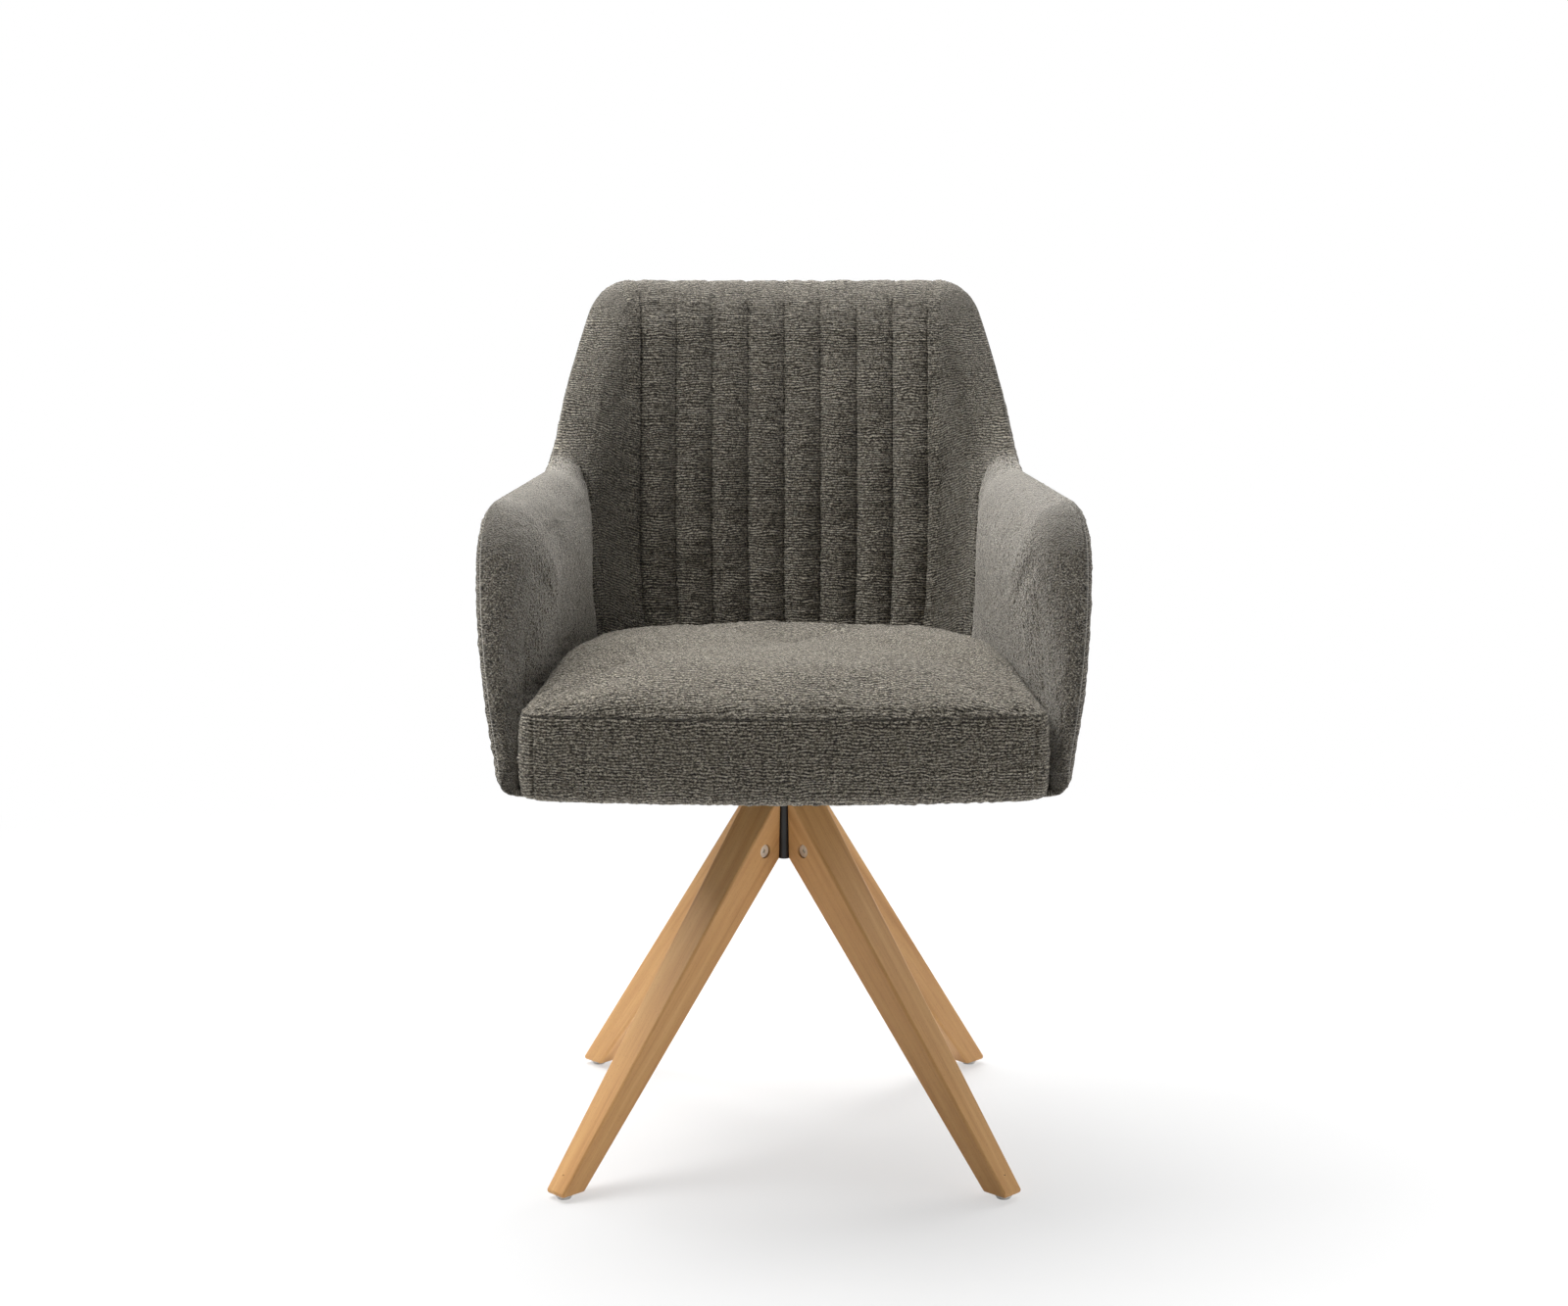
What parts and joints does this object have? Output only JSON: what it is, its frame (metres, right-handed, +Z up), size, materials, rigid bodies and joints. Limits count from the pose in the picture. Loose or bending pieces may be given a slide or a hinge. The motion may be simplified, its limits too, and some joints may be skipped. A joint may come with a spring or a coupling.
{
  "type": "swivel armchair",
  "caption": "Upholstered bucket armchair with a channelled back that swivels on splayed wooden legs.",
  "frame": {"origin": "on the floor under the swivel axis, at the middle of the four feet", "axes": "+Z up along the swivel axis, -Y to the front of the seat, +X to the right as seen from the front"},
  "size_m": [0.5696, 0.6001, 0.871],
  "materials": {
    "fabric": "taupe chenille",
    "beech": "oiled beech",
    "plywood": "raw plywood",
    "black_steel": "black powder coat",
    "steel": "turned",
    "zinc": "zinc plated",
    "nickel": "nickel plated",
    "white_nylon": "matte",
    "black_plastic": "matte",
    "felt": "black lining"
  },
  "bodies": {
    "base": {"leg_front_left": "beech", "leg_front_right": "beech", "leg_back_left": "beech", "leg_back_right": "beech", "leg_hub": "black_steel", "hub_cap": "black_plastic", "leg_bolts": "nickel", "leg_sleeve_nuts": "nickel", "floor_glides": "white_nylon", "glide_nails": "zinc", "lower_bush": "white_nylon", "upper_bush": "white_nylon", "bearing_lower_race": "steel", "bearing_balls": "steel", "bearing_cage": "white_nylon"},
    "seat": {"bearing_upper_race": "steel", "seat_spindle": "steel", "spindle_washer": "zinc", "spindle_clip": "steel", "seat_plate": "black_steel", "seat_bolts": "zinc", "t_nuts": "zinc", "mounting_block": "plywood", "seat_board": "plywood", "inner_shell": "plywood", "shell_screws": "zinc", "dust_cover": "felt", "seat_cushion": "fabric", "back_cushion": "fabric", "arm_pad_left": "fabric", "arm_pad_right": "fabric", "back_cover": "fabric", "side_cover_left": "fabric", "side_cover_right": "fabric"}
  },
  "joints": [
    {"name": "seat_swivel", "type": "hinge", "parent": "base", "child": "seat", "pos_m": [0, 0, 0.34], "axis": [0, 0, 1], "continuous": true}
  ]
}
